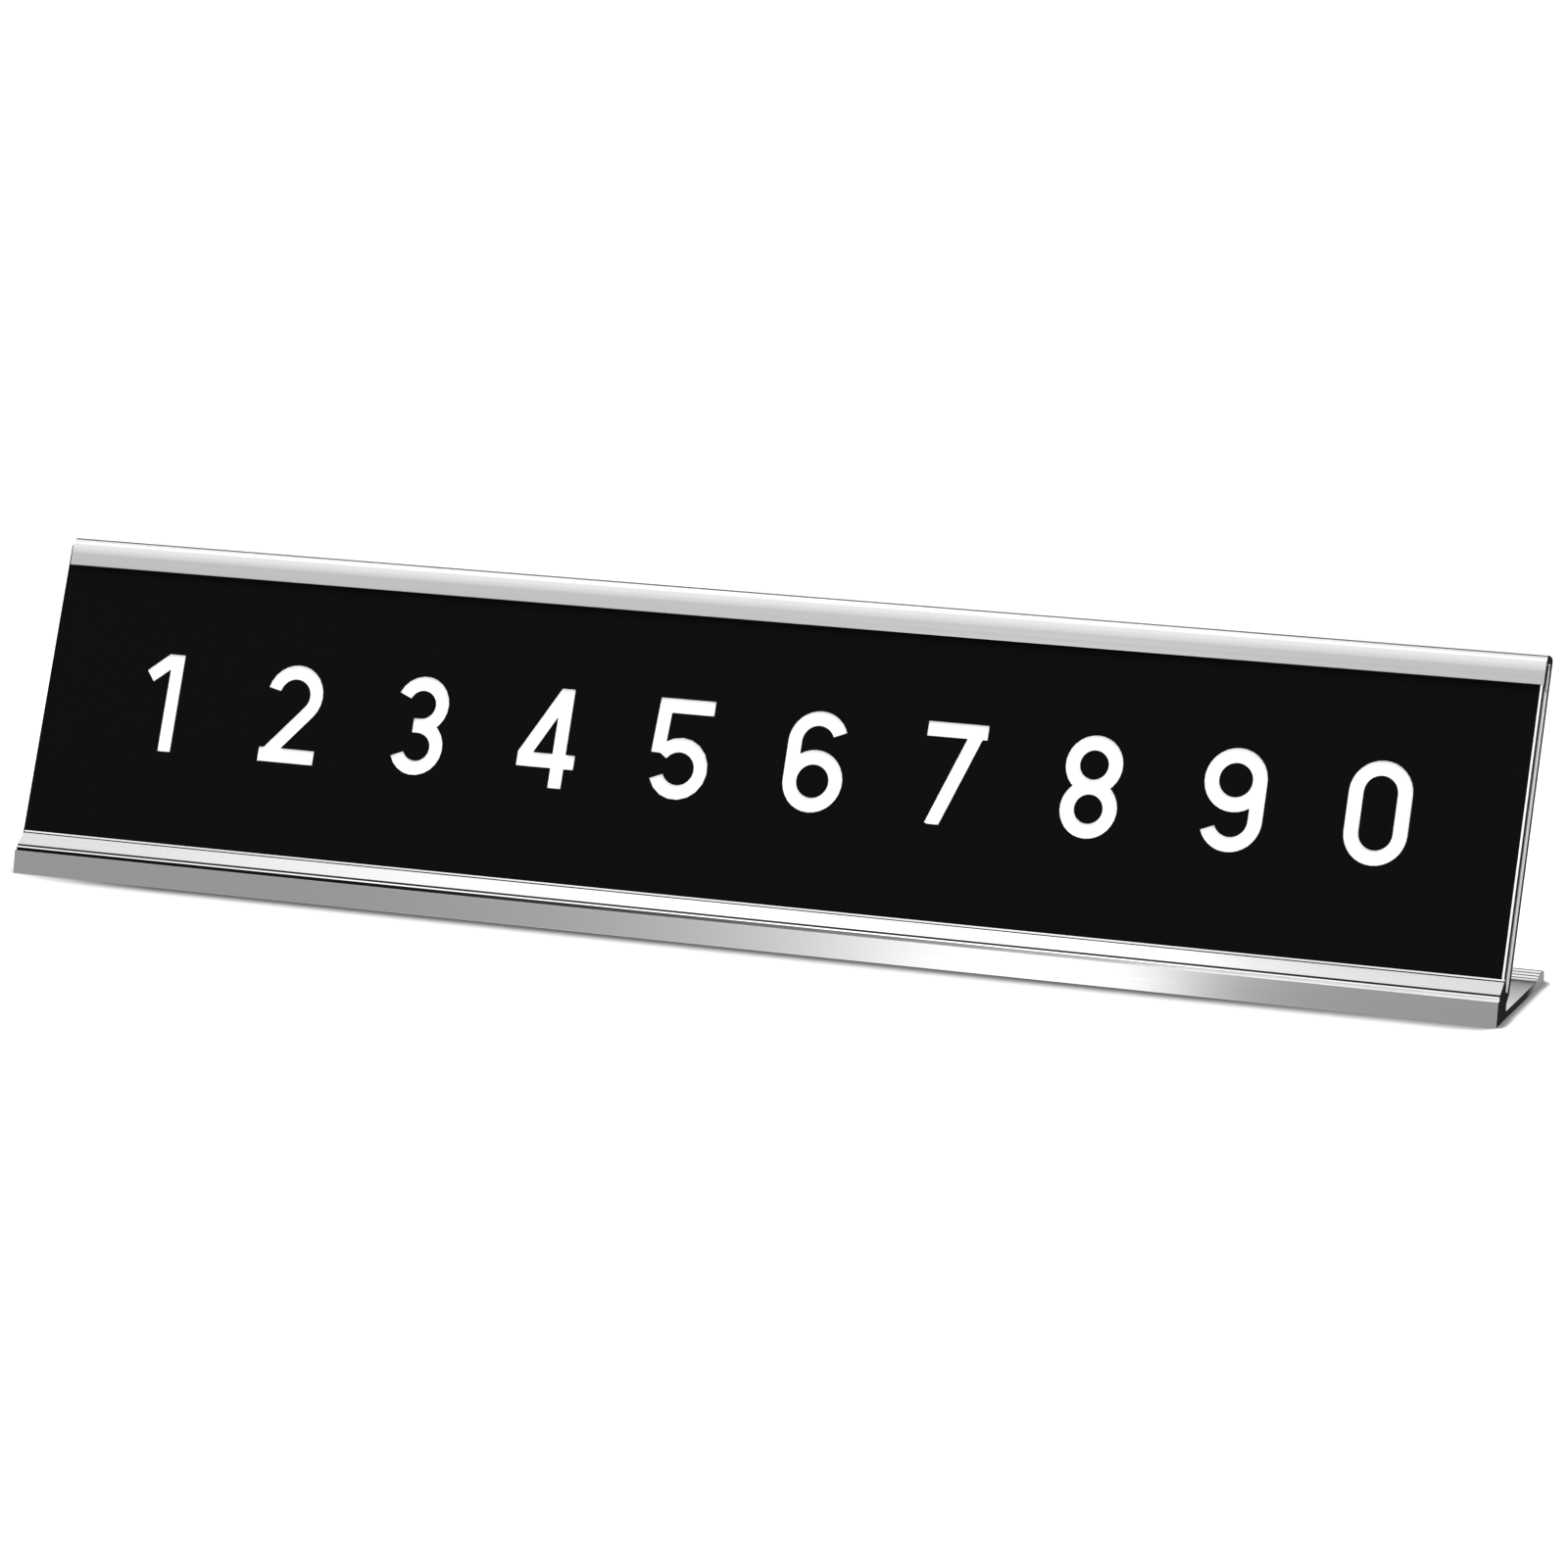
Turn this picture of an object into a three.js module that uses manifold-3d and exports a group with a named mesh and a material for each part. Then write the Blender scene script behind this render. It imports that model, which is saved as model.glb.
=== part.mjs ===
// Desk sign: an engraved two-layer name plate held in a leaning aluminium holder.
// Millimetres, +Z up. The sign reads from -Y, its length runs along X,
// and it stands on z = 0 with the origin under the middle of its base.

import * as THREE from 'three';
import { mergeVertices } from 'three/addons/utils/BufferGeometryUtils.js';
import Module from 'manifold-3d';

const wasm = await Module();
wasm.setup();

// Holder, one extrusion cut to length
const holderLength = 254;
const leanDegrees = 23.3;
const baseDepth = 28.65;
const baseThickness = 1.17;
const rearWallThickness = 1.1;
const lipThickness = 1.0;
const topWallThickness = 1.25;
const topLipCover = 3.65;
const bottomLipCover = 1.7;
const topFrontRadius = 1.5;
const topRearRadius = 0.8;
const lipEdgeRadius = 0.25;
const lipCrown = 0.1;
const lipCrownRadius = 12;

// Foot under the plate: leaning front, groove, bead, score, sloped ledge and nose
const footDepth = 5.6;
const footShoulderHeight = 2.3;
const footFilletRadius = 0.5;
const frontTopSetback = 0.77;
const frontTopHeight = 3.78;
const frontEdgeRadius = 0.1;
const grooveSetback = 1.42;
const grooveHeight = 0.44;
const beadSetback = 1.25;
const beadEdgeHeight = 0.04;
const beadCrestSetback = 1.5;
const beadCrestHeight = 4.46;
const beadRadius = 0.04;
const scoreWidth = 0.24;
const scoreHeight = 4.26;
const ledgeSetback = 1.8;
const ledgeHeight = 4.68;
const noseSetback = 4.27;
const noseHeight = 6.24;
const noseRise = 0.25;
const noseFrontRadius = 0.16;
const noseSlotRadius = 0.22;
const noseScoreStart = 0.3;
const noseScoreEnd = 0.08;
const noseScoreDepth = 0.24;
const edgeBreak = 0.2;
const arcSteps = 3;
const numeralArcSteps = 8;

// Heel along the back of the base, with its ridges
const heelFootSetback = 24.2;
const heelCrestSetback = 27.05;
const heelCrestHeight = 2.22;
const heelRearHeight = 1.74;
const heelRidgeCount = 4;
const heelFlankDepth = 0.4;
const heelFlankHeight = 0.2;
const heelRidgeRadius = 0.08;
const heelCornerRadius = 0.3;

// Name plate, a thin coloured face bonded to a white core
const plateLength = 254;
const plateHeight = 50.8;
const plateThickness = 1.6;
const faceLayerThickness = 0.25;
const plateShift = -0.8;
const plateSideClearance = 0.05;
const plateEdgeClearance = 0.1;
const bondGap = 0.02;

// Numerals cut through the face layer into the core
const numerals = '1234567890';
const numeralHeight = 16.5;
const numeralWidth = 10.2;
const numeralStroke = 2.4;
const numeralRowMargin = 17.5;
const engravingDepth = 0.36;

const lean = THREE.MathUtils.degToRad(leanDegrees);
const slotWidth = plateThickness + 2 * plateSideClearance;
const slotHeight = plateHeight + 2 * plateEdgeClearance;
const slotFront = lipThickness;
const slotRear = slotFront + slotWidth;
const wallBack = slotRear + rearWallThickness;
const slotFloor = noseRise - bottomLipCover;
const slotCeiling = slotFloor + slotHeight;
const lipBottom = slotCeiling - topLipCover;
const holderTop = slotCeiling + topWallThickness;
const numeralRowLength = plateLength - 2 * numeralRowMargin;
const numeralPitch = (numeralRowLength - numeralWidth) / (numerals.length - 1);

// Point of the holder's section, from its depth behind the lips and its rise above the ledge
function leaning(depth, rise) {
  const y = noseSetback + depth * Math.cos(lean) + rise * Math.sin(lean);
  const z = noseHeight - depth * Math.sin(lean) + rise * Math.cos(lean);
  return new THREE.Vector2(y, z);
}

// Corner of an outline, rounded to a radius
function corner(point, radius = 0) {
  return { point, radius };
}

function at(y, z, radius = 0) {
  return corner(new THREE.Vector2(y, z), radius);
}

// Closed shape through corners, each sharp or replaced by an arc
function roundedShape(corners) {
  const shape = new THREE.Shape();
  corners.forEach(({ point, radius }, index) => {
    const before = corners[(index + corners.length - 1) % corners.length].point;
    const after = corners[(index + 1) % corners.length].point;
    const inward = before.clone().sub(point).normalize();
    const outward = after.clone().sub(point).normalize();
    const half = Math.acos(THREE.MathUtils.clamp(inward.dot(outward), -1, 1)) / 2;
    if (radius === 0) {
      if (index === 0) shape.moveTo(point.x, point.y);
      else shape.lineTo(point.x, point.y);
      return;
    }
    const start = inward.clone().multiplyScalar(radius / Math.tan(half)).add(point);
    const end = outward.clone().multiplyScalar(radius / Math.tan(half)).add(point);
    const middle = inward.clone().add(outward).normalize();
    const centre = middle.multiplyScalar(radius / Math.sin(half)).add(point);
    const startAngle = Math.atan2(start.y - centre.y, start.x - centre.x);
    const endAngle = Math.atan2(end.y - centre.y, end.x - centre.x);
    const clockwise = inward.cross(outward) > 0;
    if (index === 0) shape.moveTo(start.x, start.y);
    else shape.lineTo(start.x, start.y);
    shape.absarc(centre.x, centre.y, radius, startAngle, endAngle, clockwise);
  });
  return shape;
}

// Front of the foot and its ledge, from the desk up to the nose in front of the plate
function frontCorners() {
  const nose = new THREE.Vector2(noseSetback, noseHeight);
  const ledge = new THREE.Vector2(ledgeSetback, ledgeHeight);
  const grooveTop = frontTopHeight + grooveHeight;
  const alongLedge = nose.clone().sub(ledge).normalize();
  const intoLedge = new THREE.Vector2(alongLedge.y, -alongLedge.x);
  const onLedge = (distance, depth) => nose.clone()
    .addScaledVector(alongLedge, -distance)
    .addScaledVector(intoLedge, depth);
  return [
    at(0, 0, frontEdgeRadius),
    at(frontTopSetback, frontTopHeight),
    at(grooveSetback, frontTopHeight),
    at(grooveSetback, grooveTop),
    at(beadSetback, grooveTop),
    at(beadSetback, grooveTop + beadEdgeHeight, beadRadius),
    at(beadCrestSetback, beadCrestHeight, beadRadius),
    at(ledgeSetback - scoreWidth, scoreHeight),
    at(ledgeSetback, scoreHeight),
    corner(ledge),
    corner(onLedge(noseScoreStart, 0)),
    corner(onLedge(noseScoreStart, noseScoreDepth)),
    corner(onLedge(noseScoreEnd, noseScoreDepth)),
    corner(onLedge(noseScoreEnd, 0)),
    corner(leaning(0, noseRise), noseFrontRadius),
  ];
}

// Slot for the plate, the crowned top lip and the back of the leaning wall
function wallCorners() {
  return [
    corner(leaning(slotFront, noseRise), noseSlotRadius),
    corner(leaning(slotFront, slotFloor)),
    corner(leaning(slotRear, slotFloor)),
    corner(leaning(slotRear, slotCeiling)),
    corner(leaning(slotFront, slotCeiling)),
    corner(leaning(slotFront, lipBottom), lipEdgeRadius),
    corner(leaning(0, lipBottom), lipEdgeRadius),
    corner(leaning(-lipCrown, (lipBottom + holderTop) / 2), lipCrownRadius),
    corner(leaning(0, holderTop), topFrontRadius),
    corner(leaning(wallBack, holderTop), topRearRadius),
    corner(leaning(wallBack, slotFloor), footFilletRadius),
  ];
}

// Back of the foot, the thin base and its ridged heel
function baseCorners() {
  const heelFoot = new THREE.Vector2(heelFootSetback, baseThickness);
  const heelCrest = new THREE.Vector2(heelCrestSetback, heelCrestHeight);
  const flank = new THREE.Vector2(heelFlankDepth, heelFlankHeight);
  const ridges = [];
  for (let ridge = 0; ridge < heelRidgeCount; ridge += 1) {
    const valley = heelFoot.clone().lerp(heelCrest, ridge / heelRidgeCount);
    ridges.push(corner(valley));
    ridges.push(corner(valley.clone().add(flank), heelRidgeRadius));
  }
  return [
    at(footDepth, footShoulderHeight, footFilletRadius),
    at(footDepth, baseThickness, edgeBreak),
    ...ridges,
    corner(heelCrest),
    at(baseDepth, heelRearHeight, heelCornerRadius),
    at(baseDepth, 0, edgeBreak),
  ];
}

// Section drawn as depth and height, run out along X about the middle of the sign
function makeHolder() {
  const section = roundedShape([...frontCorners(), ...wallCorners(), ...baseCorners()]);
  const options = { depth: holderLength, bevelEnabled: false, curveSegments: arcSteps };
  const geometry = new THREE.ExtrudeGeometry(section, options);
  const alongX = new THREE.Matrix4().makeBasis(
    new THREE.Vector3(0, 1, 0),
    new THREE.Vector3(0, 0, 1),
    new THREE.Vector3(1, 0, 0),
  );
  geometry.applyMatrix4(alongX);
  geometry.translate(-holderLength / 2, 0, 0);
  return geometry;
}

// Closed solid for cutting, from a geometry whose shared corners are merged
function toSolid(geometry) {
  const bare = geometry.index ? geometry.toNonIndexed() : geometry.clone();
  bare.deleteAttribute('normal');
  bare.deleteAttribute('uv');
  const merged = mergeVertices(bare, 1e-4);
  return new wasm.Manifold(new wasm.Mesh({
    numProp: 3,
    vertProperties: new Float32Array(merged.attributes.position.array),
    triVerts: new Uint32Array(merged.index.array),
  }));
}

function toGeometry(solid) {
  const mesh = solid.getMesh();
  const geometry = new THREE.BufferGeometry();
  geometry.setAttribute('position', new THREE.BufferAttribute(mesh.vertProperties, 3));
  geometry.setIndex(new THREE.BufferAttribute(mesh.triVerts, 1));
  geometry.computeVertexNormals();
  return geometry;
}

// Straight stroke of a numeral between two points of its middle line
function bar(x0, y0, x1, y1) {
  const start = new THREE.Vector2(x0, y0);
  const end = new THREE.Vector2(x1, y1);
  const along = end.clone().sub(start).normalize();
  const side = new THREE.Vector2(-along.y, along.x).multiplyScalar(numeralStroke / 2);
  return new THREE.Shape([
    start.clone().sub(side),
    end.clone().sub(side),
    end.clone().add(side),
    start.clone().add(side),
  ]);
}

// Curved stroke about a centre, counter-clockwise between two angles in degrees
function bend(x, y, radius, fromDegrees, toDegrees) {
  const from = THREE.MathUtils.degToRad(fromDegrees);
  const to = THREE.MathUtils.degToRad(toDegrees);
  const shape = new THREE.Shape();
  shape.absarc(x, y, radius + numeralStroke / 2, from, to, false);
  shape.absarc(x, y, radius - numeralStroke / 2, to, from, true);
  return shape;
}

// Point at an angle in degrees on the middle line of a bend
function onBend(x, y, radius, degrees) {
  const angle = THREE.MathUtils.degToRad(degrees);
  return [x + radius * Math.cos(angle), y + radius * Math.sin(angle)];
}

// Strokes of each numeral, in a cell with its lower left corner at zero
function numeralStrokes(numeral) {
  const height = numeralHeight;
  const width = numeralWidth;
  const left = numeralStroke / 2;
  const right = width - left;
  const bottom = numeralStroke / 2;
  const top = height - bottom;
  const middle = width / 2;
  const waist = height / 2;
  const wide = (right - left) / 2;
  const narrow = (top - bottom) / 4;
  const high = top - wide;
  const low = bottom + wide;
  const lap = numeralStroke / 12;
  const stem = middle + numeralStroke / 3;
  const upright = right - numeralStroke * 0.7;
  const crossbar = height * 0.27;
  const strokes = {
    0: () => [
      bend(middle, high, wide, 0, 180),
      bend(middle, low, wide, 180, 360),
      bar(left, low - lap, left, high + lap),
      bar(right, low - lap, right, high + lap),
    ],
    1: () => [
      bar(stem, 0, stem, height),
      bar(stem + lap, height, left, height * 0.76),
    ],
    2: () => [
      bend(middle, high, wide, -40, 168),
      bar(...onBend(middle, high, wide, -38), left + lap, bottom),
      bar(0, bottom, width, bottom),
    ],
    3: () => [
      bend(middle, top - narrow, narrow, -90, 158),
      bend(middle, bottom + narrow, narrow, -158, 90),
      bar(middle - left, waist, middle + lap, waist),
    ],
    4: () => [
      bar(upright, 0, upright, height),
      bar(0, crossbar, width, crossbar),
      bar(left / 2, crossbar - lap, upright + lap, height),
    ],
    5: () => [
      bar(left, top, width - lap, top),
      bar(left + 2 * lap, height, left, waist - 4 * lap),
      bend(middle, low, wide, -158, 146),
    ],
    6: () => [
      bend(middle, low, wide, -5, 185),
      bend(middle, low, wide, 175, 365),
      bar(left, low, left, high + lap),
      bend(middle, high, wide, 22, 180),
    ],
    7: () => [
      bar(0, top, width, top),
      bar(right, height, middle - numeralStroke, -lap),
    ],
    8: () => [
      bend(middle, top - narrow, narrow, -5, 185),
      bend(middle, top - narrow, narrow, 175, 365),
      bend(middle, bottom + narrow, narrow, -5, 185),
      bend(middle, bottom + narrow, narrow, 175, 365),
    ],
    9: () => [
      bend(middle, high, wide, -5, 185),
      bend(middle, high, wide, 175, 365),
      bar(right, low - lap, right, high),
      bend(middle, low, wide, 202, 360),
    ],
  };
  return strokes[numeral]();
}

// Slab of a flat shape, its front at y = 0 and its back at y = depth, reading from -Y
function slab(shape, depth) {
  const options = { depth, bevelEnabled: false, curveSegments: numeralArcSteps };
  const geometry = new THREE.ExtrudeGeometry(shape, options);
  const facingFront = new THREE.Matrix4().makeBasis(
    new THREE.Vector3(1, 0, 0),
    new THREE.Vector3(0, 0, 1),
    new THREE.Vector3(0, -1, 0),
  );
  geometry.applyMatrix4(facingFront);
  geometry.translate(0, depth, 0);
  return geometry;
}

// Engraver's cut for the whole row, centred on the plate and open in front of it
function makeEngraving() {
  const cellShape = new THREE.Shape([
    new THREE.Vector2(0, 0),
    new THREE.Vector2(numeralWidth, 0),
    new THREE.Vector2(numeralWidth, numeralHeight),
    new THREE.Vector2(0, numeralHeight),
  ]);
  const cutDepth = 2 * engravingDepth;
  const cell = toSolid(slab(cellShape, cutDepth));
  const cuts = [...numerals].map((numeral, index) => {
    const strokes = numeralStrokes(numeral).map((shape) => toSolid(slab(shape, cutDepth)));
    const cut = strokes.reduce((whole, stroke) => whole.add(stroke)).intersect(cell);
    const x = index * numeralPitch - numeralRowLength / 2;
    return cut.translate([x, -engravingDepth, -numeralHeight / 2]);
  });
  return cuts.reduce((row, cut) => row.add(cut));
}

// Layer of the name plate between two depths behind its front
function makeLayer(front, back, engraving) {
  const geometry = new THREE.BoxGeometry(plateLength, back - front, plateHeight);
  geometry.translate(0, (front + back) / 2, 0);
  return toSolid(geometry).subtract(engraving);
}

// Names the pieces of a cut face layer: the sheet, and each island left inside a numeral
function nameFacePieces(solids) {
  const [sheet, ...islands] = [...solids].sort((a, b) => b.volume() - a.volume());
  const placed = islands.map((solid) => {
    const { min, max } = solid.boundingBox();
    const cell = (min[0] + max[0]) / 2 / numeralPitch + (numerals.length - 1) / 2;
    return { solid, numeral: numerals[Math.round(cell)], height: (min[2] + max[2]) / 2 };
  });
  const named = placed.map(({ solid, numeral, height }) => {
    const paired = placed.filter((other) => other.numeral === numeral).length > 1;
    const level = height > 0 ? '_upper' : '_lower';
    return { name: `face_island_${numeral}${paired ? level : ''}`, solid };
  });
  return [{ name: 'nameplate_face', solid: sheet }, ...named];
}

function makePiece(name, geometry, finish) {
  const piece = new THREE.Mesh(geometry, new THREE.MeshStandardMaterial(finish));
  piece.name = name;
  return piece;
}

const holder = makePiece('holder', makeHolder(), {
  color: '#c9c9cb',
  roughness: 0.22,
  metalness: 1,
});

const faceFinish = { color: '#111111', roughness: 0.5, metalness: 0 };
const coreFinish = { color: '#f4f4f2', roughness: 0.45, metalness: 0 };

const engraving = makeEngraving();
const faceLayer = makeLayer(0, faceLayerThickness, engraving);
const facePieces = nameFacePieces(faceLayer.decompose())
  .map(({ name, solid }) => makePiece(name, toGeometry(solid), faceFinish));
const coreLayer = makeLayer(faceLayerThickness + bondGap, plateThickness, engraving);
const core = makePiece('nameplate_core', toGeometry(coreLayer), coreFinish);

// Name plate standing in the slot, leaning back with the wall behind it
const seat = leaning(slotFront + plateSideClearance, slotFloor + slotHeight / 2);
const nameplate = new THREE.Group();
nameplate.add(core, ...facePieces);
nameplate.rotation.x = -lean;
nameplate.position.set(plateShift, seat.x, seat.y);

const sign = new THREE.Group();
sign.name = 'desk_sign';
sign.add(holder, nameplate);
sign.position.y = -baseDepth / 2;

export default sign;
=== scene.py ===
import math

import bmesh
import bpy
from mathutils import Matrix, Vector


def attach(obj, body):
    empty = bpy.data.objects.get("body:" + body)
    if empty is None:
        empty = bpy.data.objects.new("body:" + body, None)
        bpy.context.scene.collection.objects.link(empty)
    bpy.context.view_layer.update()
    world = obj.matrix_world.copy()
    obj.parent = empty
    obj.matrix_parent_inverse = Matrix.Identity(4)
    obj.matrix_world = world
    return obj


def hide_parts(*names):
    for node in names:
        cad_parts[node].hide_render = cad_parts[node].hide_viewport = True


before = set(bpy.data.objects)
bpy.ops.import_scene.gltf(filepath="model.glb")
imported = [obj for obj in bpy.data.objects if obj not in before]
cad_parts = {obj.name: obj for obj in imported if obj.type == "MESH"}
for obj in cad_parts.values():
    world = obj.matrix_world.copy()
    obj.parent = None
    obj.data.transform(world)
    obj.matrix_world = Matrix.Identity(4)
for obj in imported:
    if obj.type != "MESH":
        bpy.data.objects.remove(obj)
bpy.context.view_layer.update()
mm = 0.001
noiseMiddle = (0.3, 0.7)  # most values of a noise lie between these
print("frame loaded:", len(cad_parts), "nodes")


# small helpers for node materials

def newMaterial(name):
    material = bpy.data.materials.new(name)
    material.use_nodes = True
    material.node_tree.nodes.clear()
    return material, material.node_tree


def addNode(tree, kind, **values):
    # plain attributes are set on the node, inputs are given as a dictionary
    node = tree.nodes.new(kind)
    inputs = values.pop("inputs", {})
    for key, value in values.items():
        setattr(node, key, value)
    for key, value in inputs.items():
        node.inputs[key].default_value = value
    return node


def grey(value):
    return (value, value, value, 1.0)


def addRamp(tree, source, stops):
    ramp = addNode(tree, "ShaderNodeValToRGB")
    elements = ramp.color_ramp.elements
    while len(elements) < len(stops):
        elements.new(0.5)
    for element, (position, value) in zip(elements, stops):
        element.position = position
        element.color = grey(value)
    tree.links.new(source, ramp.inputs["Fac"])
    return ramp.outputs["Color"]


def addTable(tree, source, stops):
    # value read from a table of (position, value) stops, in the units of the source
    low, high = stops[0][0], stops[-1][0]
    share = addNode(tree, "ShaderNodeMapRange", inputs={"From Min": low, "From Max": high})
    tree.links.new(source, share.inputs["Value"])
    return addRamp(tree, share.outputs["Result"],
                   [((position - low) / (high - low), value) for position, value in stops])


def addMath(tree, operation, first, second):
    node = addNode(tree, "ShaderNodeMath", operation=operation)
    for socket, value in zip(node.inputs, (first, second)):
        if isinstance(value, (int, float)):
            socket.default_value = value
        else:
            tree.links.new(value, socket)
    return node.outputs[0]


def addProduct(tree, first, second):
    # one colour times another
    mix = addNode(tree, "ShaderNodeMix", data_type="RGBA", blend_type="MULTIPLY",
                  inputs={"Factor": 1.0})
    tree.links.new(first, mix.inputs["A"])
    tree.links.new(second, mix.inputs["B"])
    return mix.outputs["Result"]


def splitPlace(tree, coordinates):
    # X, Y and Z of a set of coordinates
    place = addNode(tree, "ShaderNodeTexCoord")
    parts = addNode(tree, "ShaderNodeSeparateXYZ")
    tree.links.new(place.outputs[coordinates], parts.inputs[0])
    return parts.outputs


def stretchedNoise(tree, detail, grains):
    # noise on Object coordinates, with the number of grains per metre along each axis
    place = addNode(tree, "ShaderNodeTexCoord")
    mapping = addNode(tree, "ShaderNodeMapping", inputs={"Scale": grains})
    noise = addNode(tree, "ShaderNodeTexNoise", inputs={"Scale": 1.0, "Detail": detail})
    tree.links.new(place.outputs["Object"], mapping.inputs["Vector"])
    tree.links.new(mapping.outputs["Vector"], noise.inputs["Vector"])
    return noise.outputs["Fac"]


def spreadNoise(tree, noise, low, high):
    # the middle of a noise, spread from one value to another
    return addRamp(tree, noise, list(zip(noiseMiddle, (low, high))))


def plainShader(tree, look):
    return addNode(tree, "ShaderNodeBsdfPrincipled", inputs={
        "Roughness": look["roughness"], "Specular IOR Level": look["specular"]})


def addBump(tree, shader, height, look):
    bump = addNode(tree, "ShaderNodeBump", inputs={
        "Strength": look["bumpStrength"], "Distance": look["bumpHeight"]})
    tree.links.new(height, bump.inputs["Height"])
    tree.links.new(bump.outputs["Normal"], shader.inputs["Normal"])


def showSurface(tree, shader):
    output = addNode(tree, "ShaderNodeOutputMaterial")
    tree.links.new(shader.outputs[0], output.inputs["Surface"])


extrudedFinish = {
    "colour": (0.80, 0.80, 0.81, 1),
    "roughness": 0.14,
    "roughnessSpread": 0.012,
    "anisotropic": 1.0,
    # below this height lies the top of the base, with painted shade that darkens it towards the
    # heel
    "baseTop": 0.0013,
    "baseShade": [(-0.009, 1.0), (-0.003, 0.8), (0.004, 0.45), (0.0095, 0.2), (0.0105, 1.0)],
    # die lines per metre, few along the length and many across it
    "dieLines": (6.0, 2600, 2600),
    "dieLineDetail": 3.0,
    "bumpStrength": 1.0,
    "bumpHeight": 0.0000025,
}
# the front of the wall, with a painted shadow: a dark line along the end of the name plate
wallFinish = {
    **extrudedFinish,
    "plateEndShade": [(0.126, 1.0), (0.1261, 0.02), (0.12648, 0.02), (0.1266, 1.0), (0.127, 1.0)],
}


def makeExtrudedAluminium(name, look):
    # bright anodised extrusion, with fine die lines running along the length
    material, tree = newMaterial(name)
    shader = addNode(tree, "ShaderNodeBsdfPrincipled", inputs={
        "Metallic": 1.0, "Anisotropic": look["anisotropic"]})
    parts = splitPlace(tree, "Object")
    # painted shade on the top of the base, darker towards the heel
    tint = addNode(tree, "ShaderNodeMix", data_type="RGBA", blend_type="MULTIPLY",
                   inputs={"A": look["colour"]})
    onBase = addMath(tree, "LESS_THAN", parts["Z"], look["baseTop"])
    tree.links.new(onBase, tint.inputs["Factor"])
    tree.links.new(addTable(tree, parts["Y"], look["baseShade"]), tint.inputs["B"])
    colour = tint.outputs["Result"]
    # painted shadow: a dark line on the wall along the end of the name plate
    if "plateEndShade" in look:
        colour = addProduct(tree, colour, addTable(tree, parts["X"], look["plateEndShade"]))
    tree.links.new(colour, shader.inputs["Base Color"])
    lines = stretchedNoise(tree, look["dieLineDetail"], look["dieLines"])
    low = look["roughness"] - look["roughnessSpread"]
    high = look["roughness"] + look["roughnessSpread"]
    tree.links.new(spreadNoise(tree, lines, low, high), shader.inputs["Roughness"])
    addBump(tree, shader, lines, look)
    tangent = addNode(tree, "ShaderNodeTangent", direction_type="UV_MAP", uv_map="section")
    tree.links.new(tangent.outputs["Tangent"], shader.inputs["Tangent"])
    showSurface(tree, shader)
    return material


sawnFinish = {
    "roughness": 0.6,
    "specular": 0.01,
    # painted shade by the depth of a place less its height times the slant: the cut end is nearly
    # black, and lighter low down at the back
    "endShadeSlant": 2.0,
    "endShade": [(-0.012, 0.001), (-0.006, 0.006), (0.003, 0.01), (0.0075, 0.25), (0.0098, 0.33)],
    # arcs left by the saw blade
    "bladeShift": (0, 0.15, 0.02),
    "markSpacing": 0.0006,
    "ringsPerScale": 3.2,
    "waver": {"Distortion": 1.5, "Detail": 3.0, "Detail Scale": 2.0},
    "dark": 0.5,
    "light": 1.0,
    "bumpStrength": 0.6,
    "bumpHeight": 0.000006,
}


def makeSawnAluminium(look):
    # cut end of the extrusion, dark with painted shade, with the arcs that the saw blade leaves
    material, tree = newMaterial("sawnEnd")
    shader = plainShader(tree, look)
    place = addNode(tree, "ShaderNodeTexCoord")
    mapping = addNode(tree, "ShaderNodeMapping", inputs={"Location": look["bladeShift"]})
    rings = addNode(tree, "ShaderNodeTexWave", wave_type="RINGS", rings_direction="X", inputs={
        "Scale": 1 / look["markSpacing"] / look["ringsPerScale"], **look["waver"]})
    tree.links.new(place.outputs["Object"], mapping.inputs["Vector"])
    tree.links.new(mapping.outputs["Vector"], rings.inputs["Vector"])
    marks = addRamp(tree, rings.outputs["Fac"], [(0.0, look["dark"]), (1.0, look["light"])])
    parts = splitPlace(tree, "Object")
    lowBehind = addMath(tree, "SUBTRACT", parts["Y"],
                        addMath(tree, "MULTIPLY", parts["Z"], look["endShadeSlant"]))
    tree.links.new(addProduct(tree, addTable(tree, lowBehind, look["endShade"]), marks),
                   shader.inputs["Base Color"])
    addBump(tree, shader, rings.outputs["Fac"], look)
    showSurface(tree, shader)
    return material


faceFinish = {
    "dark": 0.0015,
    "light": 0.003,
    "roughness": 0.55,
    "specular": 0.035,
    "grains": (5000, 5000, 5000),
    "grainDetail": 2.0,
    "bumpStrength": 0.5,
    "bumpHeight": 0.000008,
}
# satin white plastic, with the passes of the engraving cutter along the length
coreFinish = {
    "dark": 0.92,
    "light": 0.97,
    "roughness": 0.45,
    "specular": 0.3,
    "grains": (60, 3300, 3300),
    "grainDetail": 1.0,
    "bumpStrength": 0.5,
    "bumpHeight": 0.00001,
}


def makePlastic(name, look):
    # engraving plastic with a fine grain: matte black face or white core
    material, tree = newMaterial(name)
    shader = plainShader(tree, look)
    grain = stretchedNoise(tree, look["grainDetail"], look["grains"])
    tree.links.new(spreadNoise(tree, grain, look["dark"], look["light"]),
                   shader.inputs["Base Color"])
    addBump(tree, shader, grain, look)
    showSurface(tree, shader)
    return material


recessFinish = {
    "roughness": 0.7,
    "specular": 0.1,
    # patches of old polish, long and narrow
    "dark": 0.85,
    "light": 1.0,
    "patches": (112.5, 900, 900),
    "patchDetail": 3.0,
    # painted shade in the groove along the length, black at the left and fading to a lighter
    # painted highlight at the right
    "groove": [(-0.127, 0.002), (-0.0508, 0.012), (-0.0254, 0.06), (0.0, 0.16), (0.04064, 0.42),
               (0.0762, 0.75), (0.127, 0.8)],
    # above this height lie the scores, in one dark painted shade
    "grooveTop": 0.00423,
    "score": 0.03,
}


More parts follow.
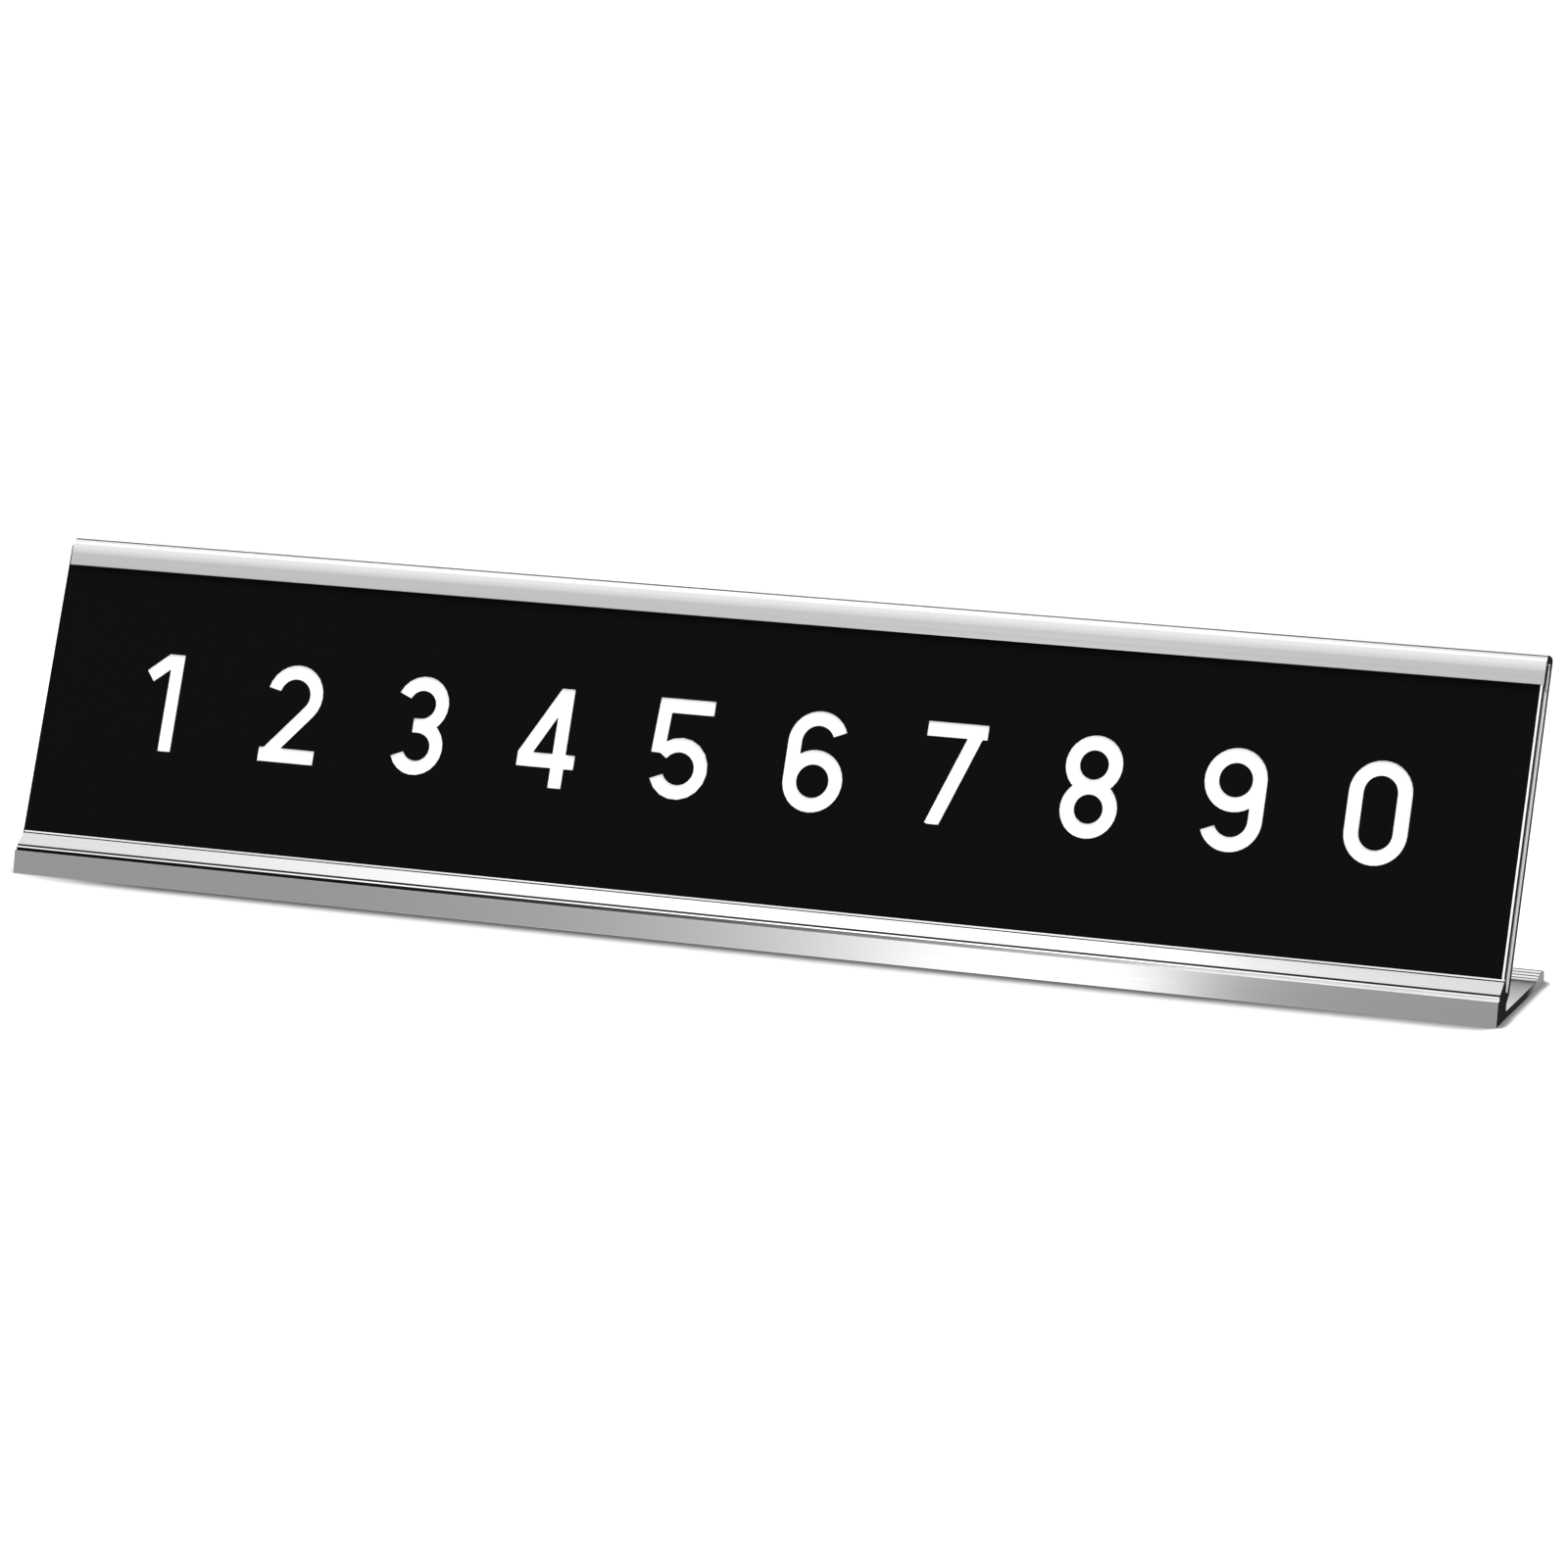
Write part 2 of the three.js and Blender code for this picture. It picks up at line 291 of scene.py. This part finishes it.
def makeRecess(look):
    # groove and scores in painted shade, with a painted highlight that lightens the groove
    # towards the right, under patches of old polish
    material, tree = newMaterial("shadedGroove")
    shader = plainShader(tree, look)
    patches = spreadNoise(tree, stretchedNoise(tree, look["patchDetail"], look["patches"]),
                          look["dark"], look["light"])
    parts = splitPlace(tree, "Object")
    tone = addNode(tree, "ShaderNodeMix", data_type="RGBA", inputs={"B": grey(look["score"])})
    inScore = addMath(tree, "GREATER_THAN", parts["Z"], look["grooveTop"])
    tree.links.new(inScore, tone.inputs["Factor"])
    tree.links.new(addTable(tree, parts["X"], look["groove"]), tone.inputs["A"])
    tree.links.new(addProduct(tree, tone.outputs["Result"], patches), shader.inputs["Base Color"])
    showSurface(tree, shader)
    return material


brightExtrusion = makeExtrudedAluminium("brightExtrusion", extrudedFinish)
shadedWall = makeExtrudedAluminium("shadedWall", wallFinish)
shadedGroove = makeRecess(recessFinish)
sawnEnd = makeSawnAluminium(sawnFinish)
matteBlackFace = makePlastic("matteBlackFace", faceFinish)
satinWhiteCore = makePlastic("satinWhiteCore", coreFinish)
print("finishes made")


# the holder is one section run along the length, in millimetres until it is scaled
holder = {
    "length": 254,
    "lean": math.radians(23.3),
    # front of the foot from the desk up, by depth, height and rounding
    "front": [
        (0, 0, 0.1),
        (0.77, 3.78, 0.03),
        (1.42, 3.76, 0.06),  # groove
        (1.42, 4.22, 0.03),
        (1.25, 4.22, 0.02),  # bead
        (1.25, 4.26, 0.04),
        (1.5, 4.46, 0.05),
        (1.56, 4.26, 0),  # score
        (1.8, 4.26, 0),
        (1.8, 4.68, 0.03),  # ledge
    ],
    # score at the top of the ledge, by distance in front of the nose, depth and rounding
    "noseScore": [(0.3, 0, 0.03), (0.28, 0.24, 0), (0.08, 0.24, 0), (0.08, 0, 0.03)],
    "nose": (4.27, 6.24),
    "noseRise": 0.25,
    "noseFrontRadius": 0.16,
    "noseSlotRadius": 0.22,
    # slot, lip and wall, by depth behind the lips and rise above the nose
    "slotFront": 1.0,
    "slotRear": 2.7,
    "slotFloor": -1.45,
    "slotCeiling": 49.55,
    "slotRadius": 0.1,
    "lipBottom": 45.9,
    "lipSlotRadius": 0.2,
    "lipFrontRadius": 0.07,
    "lipCrown": 0.1,
    "lipCrownRadius": 12,
    "top": 50.8,
    "topFrontRadius": 1.5,
    "topRearRadius": 0.8,
    "wallBack": 3.8,
    "filletRadius": 0.5,
    # back of the foot, base and heel
    "footShoulder": (5.6, 2.3),
    "baseDepth": 28.65,
    "baseThickness": 1.17,
    "baseRadius": 0.2,
    "heelFoot": (24.2, 1.17),
    "heelCrest": (27.05, 2.22),
    "heelCrestRadius": 0.05,
    "heelRearHeight": 1.74,
    "heelRearRadius": 0.3,
    "ridges": 4,
    "ridgeFlank": (0.4, 0.2),
    "valleyRadius": 0.03,
    "peakRadius": 0.08,
    "arcSegments": 8,
    # the saw leaves a hair of an edge break round both ends
    "sawnEdge": 0.06,
    # slant along the length from which a face belongs to a cut end
    "endSlant": 0.5,
    "flatWeight": 100,
    "uvPerMetre": 10,
}
# where the dulled recesses lie in the section, in millimetres
recesses = {
    "grooveDepth": (0.8, 1.7),
    "grooveHeight": (3.7, 4.225),
    "scoreDepth": (1.53, 1.86),
    "scoreHeight": (4.05, 4.6),
    "noseScoreAlong": (-0.32, -0.06),
    "noseScoreUnder": 0.02,
}
hair = 0.01  # millimetres by which a face may miss the plane it is in


def leaning(depth, rise):
    # point of the section from its depth behind the lips and its rise above the nose
    lean = holder["lean"]
    setback, height = holder["nose"]
    y = setback + depth * math.cos(lean) + rise * math.sin(lean)
    z = height - depth * math.sin(lean) + rise * math.cos(lean)
    return y, z


def ledgeLine():
    # the nose, the way up the ledge to it and the way down into the ledge
    nose = Vector(holder["nose"])
    ledge = Vector(holder["front"][-1][:2])
    along = (nose - ledge).normalized()
    return nose, along, Vector((along.y, -along.x))


def onLedge(distance, depth):
    # point from its distance in front of the nose and its depth under the ledge
    nose, along, under = ledgeLine()
    point = nose - along * distance + under * depth
    return point.x, point.y


def heelRidges():
    # corners of the ridges, steep in front and nearly level behind
    foot = Vector(holder["heelFoot"])
    crest = Vector(holder["heelCrest"])
    flank = Vector(holder["ridgeFlank"])
    corners = []
    for ridge in range(holder["ridges"]):
        valley = foot.lerp(crest, ridge / holder["ridges"])
        peak = valley + flank
        corners.append((valley.x, valley.y, holder["valleyRadius"]))
        corners.append((peak.x, peak.y, holder["peakRadius"]))
    corners.append((crest.x, crest.y, holder["heelCrestRadius"]))
    return corners


def sectionCorners():
    # depth, height and rounding of each corner, round the whole section
    size = holder
    front, rear = size["slotFront"], size["slotRear"]
    crownRise = (size["lipBottom"] + size["top"]) / 2
    return [
        *size["front"],
        *[(*onLedge(distance, depth), radius) for distance, depth, radius in size["noseScore"]],
        (*leaning(0, size["noseRise"]), size["noseFrontRadius"]),
        (*leaning(front, size["noseRise"]), size["noseSlotRadius"]),
        (*leaning(front, size["slotFloor"]), size["slotRadius"]),
        (*leaning(rear, size["slotFloor"]), size["slotRadius"]),
        (*leaning(rear, size["slotCeiling"]), size["slotRadius"]),
        (*leaning(front, size["slotCeiling"]), size["slotRadius"]),
        (*leaning(front, size["lipBottom"]), size["lipSlotRadius"]),
        (*leaning(0, size["lipBottom"]), size["lipFrontRadius"]),
        (*leaning(-size["lipCrown"], crownRise), size["lipCrownRadius"]),
        (*leaning(0, size["top"]), size["topFrontRadius"]),
        (*leaning(size["wallBack"], size["top"]), size["topRearRadius"]),
        (*leaning(size["wallBack"], size["slotFloor"]), size["filletRadius"]),
        (*size["footShoulder"], size["filletRadius"]),
        (size["footShoulder"][0], size["baseThickness"], size["baseRadius"]),
        *heelRidges(),
        (size["baseDepth"], size["heelRearHeight"], size["heelRearRadius"]),
        (size["baseDepth"], 0, size["baseRadius"]),
    ]


def roundCorner(bm, vert, radius, segments):
    # vertex bevel whose reach along both sides gives the radius asked for
    sides = [(edge.other_vert(vert).co - vert.co).normalized() for edge in vert.link_edges]
    half = sides[0].angle(sides[1]) / 2
    bmesh.ops.bevel(bm, geom=[vert], offset=radius / math.tan(half), offset_type="OFFSET",
                    affect="VERTICES", segments=segments, profile=0.5, material=-1,
                    clamp_overlap=True)


def finishMesh(bm, name, materials, smoothAngle=32):
    # writes the bmesh to a new object, smooth except over corners
    for edge in bm.edges:
        if len(edge.link_faces) == 2:
            edge.smooth = edge.calc_face_angle() < math.radians(smoothAngle)
    for face in bm.faces:
        face.smooth = True
    mesh = bpy.data.meshes.new(name)
    bm.to_mesh(mesh)
    bm.free()
    for material in materials:
        mesh.materials.append(material)
    made = bpy.data.objects.new(name, mesh)
    bpy.context.scene.collection.objects.link(made)
    return made


def inSection(face):
    # depth and height of the middle of a face in the section, in millimetres
    middle = face.calc_center_median() / mm
    return middle.y + holder["baseDepth"] / 2, middle.z


def within(value, limits):
    return limits[0] < value < limits[1]


def isRecess(face):
    # True inside the groove and the two scores
    depth, height = inSection(face)
    nose, along, under = ledgeLine()
    offset = Vector((depth, height)) - nose
    inGroove = within(depth, recesses["grooveDepth"]) and within(height, recesses["grooveHeight"])
    inScore = within(depth, recesses["scoreDepth"]) and within(height, recesses["scoreHeight"])
    inNoseScore = (offset.dot(under) > recesses["noseScoreUnder"]
                   and within(offset.dot(along), recesses["noseScoreAlong"]))
    return inGroove or inScore or inNoseScore


def isWallFront(face):
    # True on the flat of the wall that the name plate leans on
    depth, height = inSection(face)
    setback = depth - holder["nose"][0]
    rise = height - holder["nose"][1]
    behind = setback * math.cos(holder["lean"]) - rise * math.sin(holder["lean"])
    return abs(behind - holder["slotRear"]) < hair


def isCutEnd(face):
    return abs(face.normal.x) > holder["endSlant"]


def finishOf(face):
    if isCutEnd(face):
        return sawnEnd
    if isRecess(face):
        return shadedGroove
    if isWallFront(face):
        return shadedWall
    return brightExtrusion


def mapAlongSection(bm):
    # UV map that runs along the length, or up on a cut end, for the metal's tangent
    layer = bm.loops.layers.uv.new("section")
    length = Vector((1, 0, 0))
    scale = holder["uvPerMetre"]
    for face in bm.faces:
        isEnd = isCutEnd(face)
        across = Vector((0, 1, 0)) if isEnd else length.cross(face.normal).normalized()
        for loop in face.loops:
            place = loop.vert.co
            reach = place.z if isEnd else place.x
            loop[layer].uv = (place.dot(across) * scale, reach * scale)


def makeHolder():
    bm = bmesh.new()
    left = -holder["length"] / 2
    corners = sectionCorners()
    verts = [bm.verts.new((left, depth, height)) for depth, height, radius in corners]
    bm.faces.new(verts)
    for vert, (depth, height, radius) in zip(verts, corners):
        if radius:
            roundCorner(bm, vert, radius, holder["arcSegments"])
    run = bmesh.ops.extrude_face_region(bm, geom=bm.faces[:])
    moved = [item for item in run["geom"] if isinstance(item, bmesh.types.BMVert)]
    bmesh.ops.translate(bm, verts=moved, vec=(holder["length"], 0, 0))
    bmesh.ops.recalc_face_normals(bm, faces=bm.faces)
    bm.normal_update()
    rims = [edge for edge in bm.edges
            if abs(edge.verts[0].co.x - edge.verts[1].co.x) < hair]
    bmesh.ops.bevel(bm, geom=rims, offset=holder["sawnEdge"], offset_type="OFFSET",
                    affect="EDGES", segments=1, profile=0.5, material=-1, clamp_overlap=True)
    bmesh.ops.translate(bm, verts=bm.verts, vec=(0, -holder["baseDepth"] / 2, 0))
    bmesh.ops.scale(bm, verts=bm.verts, vec=(mm, mm, mm))
    bm.normal_update()
    finishes = [brightExtrusion, sawnEnd, shadedGroove, shadedWall]
    for face in bm.faces:
        face.material_index = finishes.index(finishOf(face))
    mapAlongSection(bm)
    made = finishMesh(bm, "extrudedHolder", finishes)
    flats = made.modifiers.new("flats", "WEIGHTED_NORMAL")
    flats.mode = "FACE_AREA"
    flats.weight = holder["flatWeight"]
    flats.keep_sharp = True
    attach(made, "holder")
    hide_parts("holder")


makeHolder()
print("holder extruded")


# the two bonded layers of the name plate are taken from the frame and finished
for nodeName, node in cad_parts.items():
    if nodeName == "holder":
        continue
    isCore = nodeName == "nameplate_core"
    material = satinWhiteCore if isCore else matteBlackFace
    node.data.materials.clear()
    node.data.materials.append(material)
print("name plate dressed")


desk = {
    "size": 12,
    "height": -0.00005,
    "colour": 0.8,
    "lift": 0.45,
    # how far the contact shadow reaches along the length: it is shorter at the right end
    "shadowReach": [(0.119, 0.009), (0.1255, 0.0045), (0.127, 0.0021), (0.1295, 0.0018)],
    # how much of it shows along the length: it is fainter at the left end
    "shadowShare": [(-0.131, 0.0), (-0.124, 0.42), (-0.118, 0.65), (-0.11, 0.9), (-0.1, 1.0),
                    (0.08, 1.0), (0.11, 0.86)],
    # share of the desk's colour left, by how open a place is
    "shadowTone": [(0.5, 0.08), (0.655, 0.115), (0.765, 0.2), (0.84, 0.43), (0.888, 0.7),
                   (0.92, 0.85), (0.95, 0.94), (0.98, 1.0)],
    "shadowSamples": 16,
}


def makeDesk():
    # pale matte desk, with a painted contact shadow where the object stands close over it
    bm = bmesh.new()
    bmesh.ops.create_grid(bm, x_segments=1, y_segments=1, size=desk["size"] / 2)
    bmesh.ops.translate(bm, verts=bm.verts, vec=(0, 0, desk["height"]))
    material, tree = newMaterial("paleDesk")
    parts = splitPlace(tree, "Object")
    near = addNode(tree, "ShaderNodeAmbientOcclusion", samples=desk["shadowSamples"])
    tree.links.new(addTable(tree, parts["X"], desk["shadowReach"]), near.inputs["Distance"])
    tones = [(position, value * desk["colour"]) for position, value in desk["shadowTone"]]
    shadow = addNode(tree, "ShaderNodeMix", data_type="RGBA", inputs={"A": grey(desk["colour"])})
    tree.links.new(addTable(tree, parts["X"], desk["shadowShare"]), shadow.inputs["Factor"])
    tree.links.new(addRamp(tree, near.outputs["AO"], tones), shadow.inputs["B"])
    colour = shadow.outputs["Result"]
    matte = addNode(tree, "ShaderNodeBsdfDiffuse")
    tree.links.new(colour, matte.inputs["Color"])
    # only the camera sees the lift, so the background is white and the object's light stays
    path = addNode(tree, "ShaderNodeLightPath")
    glow = addNode(tree, "ShaderNodeEmission")
    tree.links.new(colour, glow.inputs["Color"])
    tree.links.new(addMath(tree, "MULTIPLY", path.outputs["Is Camera Ray"], desk["lift"]),
                   glow.inputs["Strength"])
    total = addNode(tree, "ShaderNodeAddShader")
    tree.links.new(matte.outputs[0], total.inputs[0])
    tree.links.new(glow.outputs[0], total.inputs[1])
    showSurface(tree, total)
    made = finishMesh(bm, "deskTop", [material])
    made.visible_glossy = False


# every light is the product of two tables. Round is by the angle round the length, with
# -180 and 180 behind, 0 in front and 90 overhead. Aside is by how far to the side the
# light comes from, -1 at the left and 1 at the right.
world = {
    "studioRound": [(-180, 1.0), (-150, 0.9), (-130, 0.1), (-100, 0.1), (-90, 0.8), (-50, 0.8),
                    (-38, 0.36), (18, 0.36), (24, 0.5), (30, 0.53), (36, 1.05), (54, 1.1),
                    (70, 1.6), (84, 1.45), (93, 0.82), (103, 0.74), (108, 1.5), (116, 1.5),
                    (120, 0.06), (150, 0.06), (158, 1.0), (180, 1.0)],
    "studioAside": [(-1, 1.0), (0.2, 1.0), (0.5, 2.0), (1, 2.0)],
    # strip light across the length
    "stripRound": [(-180, 0.0), (-110, 0.0), (-90, 1.15), (16, 1.15), (20, 0.0), (70, 0.0),
                   (90, 3.5), (110, 3.5), (117, 0.0), (180, 0.0)],
    "stripAside": [(-0.43, 0.0), (-0.39, 0.08), (-0.365, 0.24), (-0.345, 0.55),
                   (-0.333, 0.95), (-0.3, 1.08), (-0.2925, 0.6), (-0.289, 0.0)],
    # and the most that it gives by the angle, so that thin dark lines still show beside it
    "stripMost": [(-180, 1.3), (20, 1.3), (70, 0.5), (180, 0.5)],
    # broad soft light overhead, which the ledge mirrors
    "overheadRound": [(80, 0.0), (88, 1.0), (112, 1.0), (118, 0.0)],
    "overheadAside": [(-0.475, 0.0), (-0.463, 0.055), (-0.4545, 0.1), (-0.446, 0.16),
                      (-0.429, 0.24), (-0.42, 0.26), (-0.3, 0.26), (-0.284, 0.13),
                      (-0.273, 0.11), (-0.2626, 0.045), (-0.24, 0.0)],
}


def makeWorld():
    made = bpy.data.worlds.new("studio")
    made.use_nodes = True
    tree = made.node_tree
    tree.nodes.clear()
    parts = splitPlace(tree, "Generated")
    ahead = addMath(tree, "MULTIPLY", parts["Y"], -1.0)
    angle = addMath(tree, "ARCTAN2", parts["Z"], ahead)
    degrees = addMath(tree, "MULTIPLY", angle, math.degrees(1))

    def addLight(name):
        return addMath(tree, "MULTIPLY", addTable(tree, degrees, world[name + "Round"]),
                       addTable(tree, parts["X"], world[name + "Aside"]))

    strip = addMath(tree, "MINIMUM", addLight("strip"),
                    addTable(tree, degrees, world["stripMost"]))
    glow = addMath(tree, "ADD", addLight("studio"),
                   addMath(tree, "ADD", strip, addLight("overhead")))
    lit = addNode(tree, "ShaderNodeBackground", inputs={"Color": grey(1.0)})
    tree.links.new(glow, lit.inputs["Strength"])
    shown = addNode(tree, "ShaderNodeBackground", inputs={"Color": grey(1.0), "Strength": 1.0})
    path = addNode(tree, "ShaderNodeLightPath")
    mix = addNode(tree, "ShaderNodeMixShader")
    tree.links.new(path.outputs["Is Camera Ray"], mix.inputs[0])
    tree.links.new(lit.outputs[0], mix.inputs[1])
    tree.links.new(shown.outputs[0], mix.inputs[2])
    output = addNode(tree, "ShaderNodeOutputWorld")
    tree.links.new(mix.outputs[0], output.inputs["Surface"])
    bpy.context.scene.world = made


lamp = {
    "from": (0.25, -0.75, 0.6),
    "power": 0.65,
    "spread": math.radians(50),
}


def makeLamp():
    # broad soft light that the metal doesn't mirror
    light = bpy.data.lights.new("front", "SUN")
    light.energy = lamp["power"]
    light.angle = lamp["spread"]
    made = bpy.data.objects.new("front", light)
    made.rotation_euler = (-Vector(lamp["from"])).to_track_quat("-Z", "Y").to_euler()
    made.visible_glossy = False
    bpy.context.scene.collection.objects.link(made)


camera = {
    "place": (0.333655, -0.821681, 0.231461),
    "azimuth": math.radians(-21.76),
    "elevation": math.radians(13.203),
    "roll": math.radians(0.0974),
    "lens": 130.6675,
    "sensor": 36,
    "clip": (0.01, 100),
}


def makeCamera():
    data = bpy.data.cameras.new("camera")
    data.lens = camera["lens"]
    data.sensor_width = camera["sensor"]
    data.clip_start, data.clip_end = camera["clip"]
    made = bpy.data.objects.new("camera", data)
    made.location = camera["place"]
    level = math.cos(camera["elevation"])
    ahead = Vector((math.sin(camera["azimuth"]) * level, math.cos(camera["azimuth"]) * level,
                    -math.sin(camera["elevation"])))
    turn = ahead.to_track_quat("-Z", "Y").to_matrix() @ Matrix.Rotation(camera["roll"], 3, "Z")
    made.rotation_euler = turn.to_euler()
    bpy.context.scene.collection.objects.link(made)
    bpy.context.scene.camera = made


makeDesk()
makeWorld()
makeLamp()
makeCamera()
bpy.context.scene.view_settings.view_transform = "Standard"
print("studio set")
